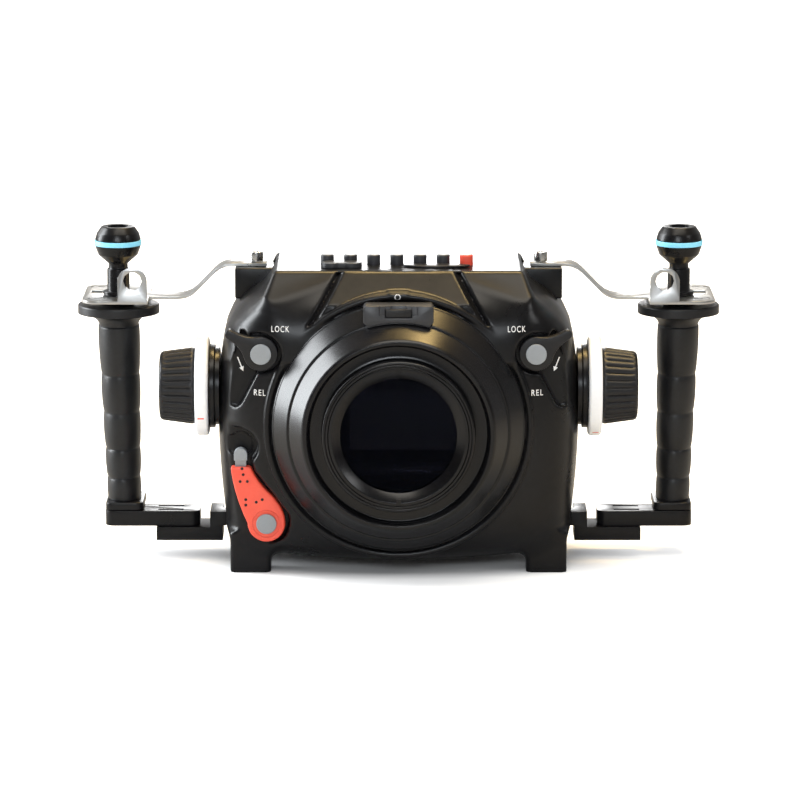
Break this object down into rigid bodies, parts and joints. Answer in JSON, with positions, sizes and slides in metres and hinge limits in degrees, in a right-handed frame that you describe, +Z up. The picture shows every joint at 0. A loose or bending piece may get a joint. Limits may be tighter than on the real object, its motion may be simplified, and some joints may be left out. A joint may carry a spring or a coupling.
{
  "type": "underwater camera housing",
  "caption": "Watertight camera housing with a flat lens port, hand grips, mounting balls, side knobs, push buttons, latches and a lift-off rear cover.",
  "frame": {"origin": "middle of the whole object's footprint, on the surface that the four feet stand on", "axes": "+Z up, the lens port faces -Y, +X to the right as seen from the front"},
  "size_m": [0.3528, 0.1342, 0.1835],
  "materials": {
    "black_anodised": "hard anodised, satin black",
    "stainless": "satin stainless steel",
    "seal_rubber": "greased silicone seal",
    "band_rubber": "matt blue seal ring",
    "grip_rubber": "matt moulded rubber",
    "black_plastic": "matt black",
    "button_plastic": "matt dark grey",
    "red_plastic": "satin red",
    "grey_plastic": "satin grey",
    "white_plastic": "satin white",
    "brass": "machined",
    "port_glass": "polished flat glass",
    "window_acrylic": "polished acrylic"
  },
  "bodies": {
    "housing": {"front_shell": "black_anodised", "port_mount_ring": "stainless", "main_o_ring": "seal_rubber", "camera_tray": "black_anodised", "tray_screw": "stainless", "deck_plaque": "black_plastic", "left_pillar": "black_anodised", "right_pillar": "black_anodised", "left_bracket": "black_anodised", "right_bracket": "black_anodised", "left_arm": "black_anodised", "right_arm": "black_anodised", "left_grip_base": "black_anodised", "right_grip_base": "black_anodised", "left_grip": "grip_rubber", "right_grip": "grip_rubber", "left_brace": "stainless", "right_brace": "stainless", "left_brace_bolt": "stainless", "right_brace_bolt": "stainless", "left_ball_mount": "black_anodised", "right_ball_mount": "black_anodised", "left_ball_band": "band_rubber", "right_ball_band": "band_rubber", "left_gland": "black_anodised", "right_gland": "black_anodised"},
    "port": {"port_barrel": "black_anodised", "port_glass": "port_glass", "port_retaining_ring": "black_anodised", "port_index_block": "black_plastic"},
    "port_lock": {"port_lock_lever": "red_plastic", "port_lock_cap": "grey_plastic"},
    "lock_peg": {"port_lock_peg": "grey_plastic"},
    "left_latch": {"left_latch_lever": "black_plastic", "left_latch_cap": "grey_plastic"},
    "right_latch": {"right_latch_lever": "black_plastic", "right_latch_cap": "grey_plastic"},
    "left_control": {"left_knob": "black_plastic", "left_knob_disc": "white_plastic", "left_drive_shaft": "stainless"},
    "right_control": {"right_knob": "black_plastic", "right_knob_disc": "white_plastic", "right_drive_shaft": "stainless"},
    "left_idler": {"left_idler_gear": "brass"},
    "right_idler": {"right_idler_gear": "brass"},
    "deck_lever": {"top_lever": "button_plastic"},
    "button_1": {"top_button_1": "button_plastic"},
    "button_2": {"top_button_2": "button_plastic"},
    "button_3": {"top_button_3": "button_plastic"},
    "button_4": {"top_button_4": "button_plastic"},
    "button_5": {"top_button_5": "button_plastic"},
    "button_6": {"top_button_6": "button_plastic"},
    "button_7": {"top_button_7": "red_plastic"},
    "cover": {"rear_cover": "black_anodised", "rear_window": "window_acrylic"},
    "cover_button_1": {"rear_button_1": "button_plastic"},
    "cover_button_2": {"rear_button_2": "button_plastic"},
    "cover_button_3": {"rear_button_3": "button_plastic"},
    "cover_button_4": {"rear_button_4": "button_plastic"},
    "cover_dial": {"rear_dial": "button_plastic"}
  },
  "joints": [
    {"name": "port_slide", "type": "slide", "parent": "housing", "child": "port", "axis": [0, -1, 0], "range_m": [0, 0.06]},
    {"name": "cover_slide", "type": "slide", "parent": "housing", "child": "cover", "axis": [0, 1, 0], "range_m": [0, 0.12]},
    {"name": "port_lock_turn", "type": "hinge", "parent": "housing", "child": "port_lock", "pos_m": [-0.0716, -0.0285, 0.0295], "axis": [0, -1, 0], "range_deg": [0, 95]},
    {"name": "lock_peg_press", "type": "slide", "parent": "port_lock", "child": "lock_peg", "axis": [0, 0, -1], "range_m": [0, 0.003], "stiffness_N_per_m": 800},
    {"name": "left_latch_turn", "type": "hinge", "parent": "housing", "child": "left_latch", "pos_m": [-0.074, -0.03, 0.1237], "axis": [0, -1, 0], "range_deg": [0, 90]},
    {"name": "right_latch_turn", "type": "hinge", "parent": "housing", "child": "right_latch", "pos_m": [0.074, -0.03, 0.1237], "axis": [0, 1, 0], "range_deg": [0, 90]},
    {"name": "left_knob_turn", "type": "hinge", "parent": "housing", "child": "left_control", "pos_m": [-0.12, 0.00715, 0.0982], "axis": [1, 0, 0], "continuous": true},
    {"name": "right_knob_turn", "type": "hinge", "parent": "housing", "child": "right_control", "pos_m": [0.12, 0.00715, 0.0982], "axis": [1, 0, 0], "continuous": true},
    {"name": "left_idler_turn", "type": "hinge", "parent": "housing", "child": "left_idler", "pos_m": [-0.077, 0.02845, 0.0982], "axis": [1, 0, 0], "continuous": true},
    {"name": "right_idler_turn", "type": "hinge", "parent": "housing", "child": "right_idler", "pos_m": [0.077, 0.02845, 0.0982], "axis": [1, 0, 0], "continuous": true},
    {"name": "deck_lever_turn", "type": "hinge", "parent": "housing", "child": "deck_lever", "pos_m": [-0.0362, -0.00605, 0.167], "axis": [0, 0, -1], "range_deg": [0, 25]},
    {"name": "top_button_1_press", "type": "slide", "parent": "housing", "child": "button_1", "axis": [0, 0, -1], "range_m": [0, 0.0025], "stiffness_N_per_m": 800},
    {"name": "top_button_2_press", "type": "slide", "parent": "housing", "child": "button_2", "axis": [0, 0, -1], "range_m": [0, 0.0025], "stiffness_N_per_m": 800},
    {"name": "top_button_3_press", "type": "slide", "parent": "housing", "child": "button_3", "axis": [0, 0, -1], "range_m": [0, 0.0025], "stiffness_N_per_m": 800},
    {"name": "top_button_4_press", "type": "slide", "parent": "housing", "child": "button_4", "axis": [0, 0, -1], "range_m": [0, 0.0025], "stiffness_N_per_m": 800},
    {"name": "top_button_5_press", "type": "slide", "parent": "housing", "child": "button_5", "axis": [0, 0, -1], "range_m": [0, 0.0025], "stiffness_N_per_m": 800},
    {"name": "top_button_6_press", "type": "slide", "parent": "housing", "child": "button_6", "axis": [0, 0, -1], "range_m": [0, 0.0025], "stiffness_N_per_m": 800},
    {"name": "top_button_7_press", "type": "slide", "parent": "housing", "child": "button_7", "axis": [0, 0, -1], "range_m": [0, 0.0025], "stiffness_N_per_m": 800},
    {"name": "rear_button_1_press", "type": "slide", "parent": "cover", "child": "cover_button_1", "axis": [0, -1, 0], "range_m": [0, 0.0025], "stiffness_N_per_m": 800},
    {"name": "rear_button_2_press", "type": "slide", "parent": "cover", "child": "cover_button_2", "axis": [0, -1, 0], "range_m": [0, 0.0025], "stiffness_N_per_m": 800},
    {"name": "rear_button_3_press", "type": "slide", "parent": "cover", "child": "cover_button_3", "axis": [0, -1, 0], "range_m": [0, 0.0025], "stiffness_N_per_m": 800},
    {"name": "rear_button_4_press", "type": "slide", "parent": "cover", "child": "cover_button_4", "axis": [0, -1, 0], "range_m": [0, 0.0025], "stiffness_N_per_m": 800},
    {"name": "rear_dial_turn", "type": "hinge", "parent": "cover", "child": "cover_dial", "pos_m": [-0.064, 0.06, 0.064], "axis": [0, 1, 0], "continuous": true}
  ],
  "couplings": [
    {"joint": "left_idler_turn", "follows": "left_knob_turn", "ratio": -1.3333},
    {"joint": "right_idler_turn", "follows": "right_knob_turn", "ratio": -1.3333}
  ]
}
